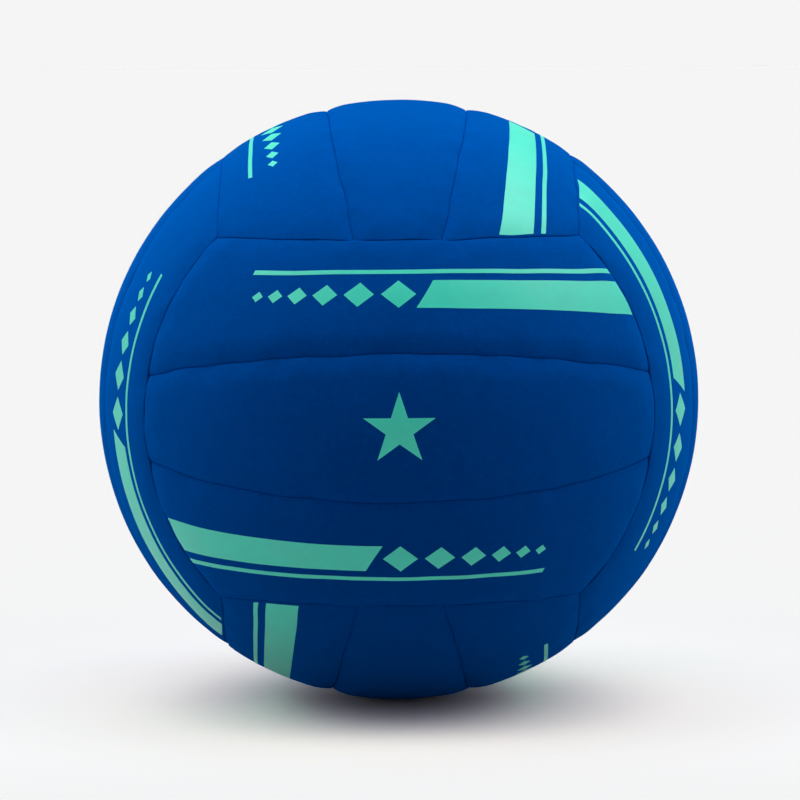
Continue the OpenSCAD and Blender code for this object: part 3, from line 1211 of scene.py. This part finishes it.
def light_world(studio, colours):
    """A soft box overhead, one on each side, a low glow behind, and a plain background"""
    world = bpy.data.worlds.new("studio_light")
    bpy.context.scene.world = world
    world.use_nodes = True
    tree = world.node_tree
    tree.nodes.clear()
    way = add_node(tree, "TexCoord").outputs["Generated"]
    parts = add_node(tree, "SeparateXYZ", {0: way}).outputs
    level = calculate(tree, "DIVIDE", parts[2], studio.glow_height)
    fall = calculate(tree, "EXPONENT", product(tree, level, level, -1.0))
    behind = calculate(tree, "ADD", calculate(tree, "MINIMUM", parts[1], 0.0), 1.0)
    glow = product(tree, fall, studio.glow, behind)
    tilt, height = studio.top_box_tilt, studio.side_box_height
    overhead = sky_lobe(tree, way, (0, math.sin(tilt), math.cos(tilt)), studio.top_box)
    either_side = calculate(tree, "ABSOLUTE", parts[0])
    mirrored = add_node(tree, "CombineXYZ", {0: either_side, 1: parts[1], 2: parts[2]}).outputs[0]
    beside = sky_lobe(tree, mirrored, (math.cos(height), 0, math.sin(height)), studio.side_boxes)
    total = calculate(tree, "ADD", calculate(tree, "ADD", glow, overhead), beside)
    soft = add_node(tree, "Background", {"Strength": total})
    plain = add_node(tree, "Background", {"Color": (*colours.floor, 1), "Strength": 1.0})
    seen = add_node(tree, "LightPath").outputs["Is Camera Ray"]
    mixed = add_node(tree, "MixShader", {0: seen, 1: soft.outputs[0], 2: plain.outputs[0]})
    add_node(tree, "OutputWorld", {0: mixed.outputs[0]})


def oval_distance(tree, place, reach, lean):
    """Distance on the floor from a point in front of the ball's foot, with the reach along X and Y as 1"""
    inputs = {"Vector": place, "Location": (0, lean / reach[1], 0), "Scale": (1 / reach[0], 1 / reach[1], 1)}
    scaled = add_node(tree, "Mapping", inputs).outputs[0]
    return add_node(tree, "VectorMath", {0: scaled}, operation="LENGTH").outputs["Value"]


def floor_surface(studio, colours):
    """Pale floor that throws little light back, with painted light in ovals that brightens it towards the
    ball to keep its shadow tight, tinted warm against the ball's blue
    """
    material, tree, shader, place = new_material("studio_floor")
    tree.nodes.remove(shader)
    path = add_node(tree, "LightPath").outputs
    seen = calculate(tree, "MAXIMUM", path["Is Camera Ray"], path["Is Glossy Ray"])
    # Painted light: the floor's colour rises in two ovals around the ball and lifts its shadow; the near oval
    # is tinted warm against the ball's blue
    near = calculate(tree, "POWER", oval_distance(tree, place, NEAR_REACH, NEAR_LEAN), NEAR_FALL)
    near = calculate(tree, "DIVIDE", studio.near_floor_painted_light, calculate(tree, "ADD", near, 1.0))
    wide = calculate(tree, "POWER", oval_distance(tree, place, WIDE_REACH, WIDE_LEAN), WIDE_FALL)
    wide = calculate(tree, "EXPONENT", product(tree, wide, -1.0))
    gain = calculate(tree, "MULTIPLY_ADD", wide, studio.wide_floor_painted_light, studio.floor_gain)
    gain = vector_math(tree, "ADD", shaded(tree, NEAR_TINT, near), gain)[0]
    floor = vector_math(tree, "MULTIPLY", tuple(colours.floor), gain)[0]
    shown = add_node(tree, "BsdfDiffuse", {"Color": floor})
    dim = add_node(tree, "BsdfDiffuse", {"Color": (studio.floor_return,) * 3 + (1,)})
    mixed = add_node(tree, "MixShader", {0: seen, 1: dim.outputs[0], 2: shown.outputs[0]})
    fill_inputs(tree, tree.nodes["Material Output"], {"Surface": mixed.outputs[0]})
    return material


def aim_camera(studio, sizes):
    """Places the camera where the photograph was taken from"""
    deselect_all()
    centre = ball_centre(sizes)
    back = Vector((
        math.sin(CAMERA_AZIMUTH) * math.cos(studio.elevation),
        -math.cos(CAMERA_AZIMUTH) * math.cos(studio.elevation),
        math.sin(studio.elevation),
    ))
    bpy.ops.object.camera_add(location=centre + back * studio.distance)
    camera = bpy.context.object
    camera.name = "studio_camera"
    camera.data.lens = studio.lens
    camera.data.sensor_width = SENSOR_WIDTH
    camera.data.clip_end = CLIP_END
    right = Vector((math.cos(CAMERA_AZIMUTH), math.sin(CAMERA_AZIMUTH), 0))
    up = back.cross(right)
    pixel = studio.distance / (studio.lens / SENSOR_WIDTH * PICTURE_WIDTH)
    aim = centre - right * (AIM_PIXELS[0] * pixel) - up * (AIM_PIXELS[1] * pixel)
    back = (camera.location - aim).normalized()
    right = (right - back * right.dot(back)).normalized()
    up = back.cross(right)
    leant_right = right * math.cos(CAMERA_ROLL) - up * math.sin(CAMERA_ROLL)
    leant_up = right * math.sin(CAMERA_ROLL) + up * math.cos(CAMERA_ROLL)
    camera.rotation_euler = Matrix((leant_right, leant_up, back)).transposed().to_euler()
    bpy.context.scene.camera = camera


class VOLLEYBALL_OT_studio(Operator):
    """Sets the pale floor, the soft light and the camera"""

    bl_idname = "volleyball.studio"
    bl_label = "Studio"

    def execute(self, context):
        scene = context.scene
        studio, colours = scene.volleyball_studio, scene.volleyball_colours
        deselect_all()
        bpy.ops.mesh.primitive_plane_add(size=FLOOR_SIZE)
        floor = bpy.context.object
        floor.name = "studio_floor"
        floor.data.materials.append(floor_surface(studio, colours))
        light_world(studio, colours)
        aim_camera(studio, scene.volleyball_sizes)
        scene.view_settings.view_transform = "Standard"
        return {"FINISHED"}


# Panel and registration


class VOLLEYBALL_PT_panel(Panel):
    """Lists the sizes, the colours and the pieces"""

    bl_label = "Volleyball"
    bl_idname = "VOLLEYBALL_PT_panel"
    bl_space_type = "VIEW_3D"
    bl_region_type = "UI"
    bl_category = "Volleyball"

    def draw(self, context):
        layout = self.layout
        scene = context.scene
        for settings in (scene.volleyball_sizes, scene.volleyball_colours, scene.volleyball_studio):
            box = layout.box()
            for key in settings.__annotations__:
                box.prop(settings, key)
        for step in STEPS:
            layout.operator(step.bl_idname)


STEPS = (
    VOLLEYBALL_OT_studio,
    VOLLEYBALL_OT_covers,
    VOLLEYBALL_OT_prints,
    VOLLEYBALL_OT_paddings,
    VOLLEYBALL_OT_stitching,
    VOLLEYBALL_OT_bladder,
    VOLLEYBALL_OT_valve,
)
CLASSES = (BallSizes, BallColours, StudioSettings, *STEPS, VOLLEYBALL_PT_panel)


def register():
    for kind in CLASSES:
        bpy.utils.register_class(kind)
    bpy.types.Scene.volleyball_sizes = PointerProperty(type=BallSizes)
    bpy.types.Scene.volleyball_colours = PointerProperty(type=BallColours)
    bpy.types.Scene.volleyball_studio = PointerProperty(type=StudioSettings)


def unregister():
    del bpy.types.Scene.volleyball_studio
    del bpy.types.Scene.volleyball_colours
    del bpy.types.Scene.volleyball_sizes
    for kind in reversed(CLASSES):
        bpy.utils.unregister_class(kind)


def main():
    register()
    for step in STEPS:
        getattr(bpy.ops.volleyball, step.bl_idname.split(".")[1])()


if __name__ == "__main__":
    main()
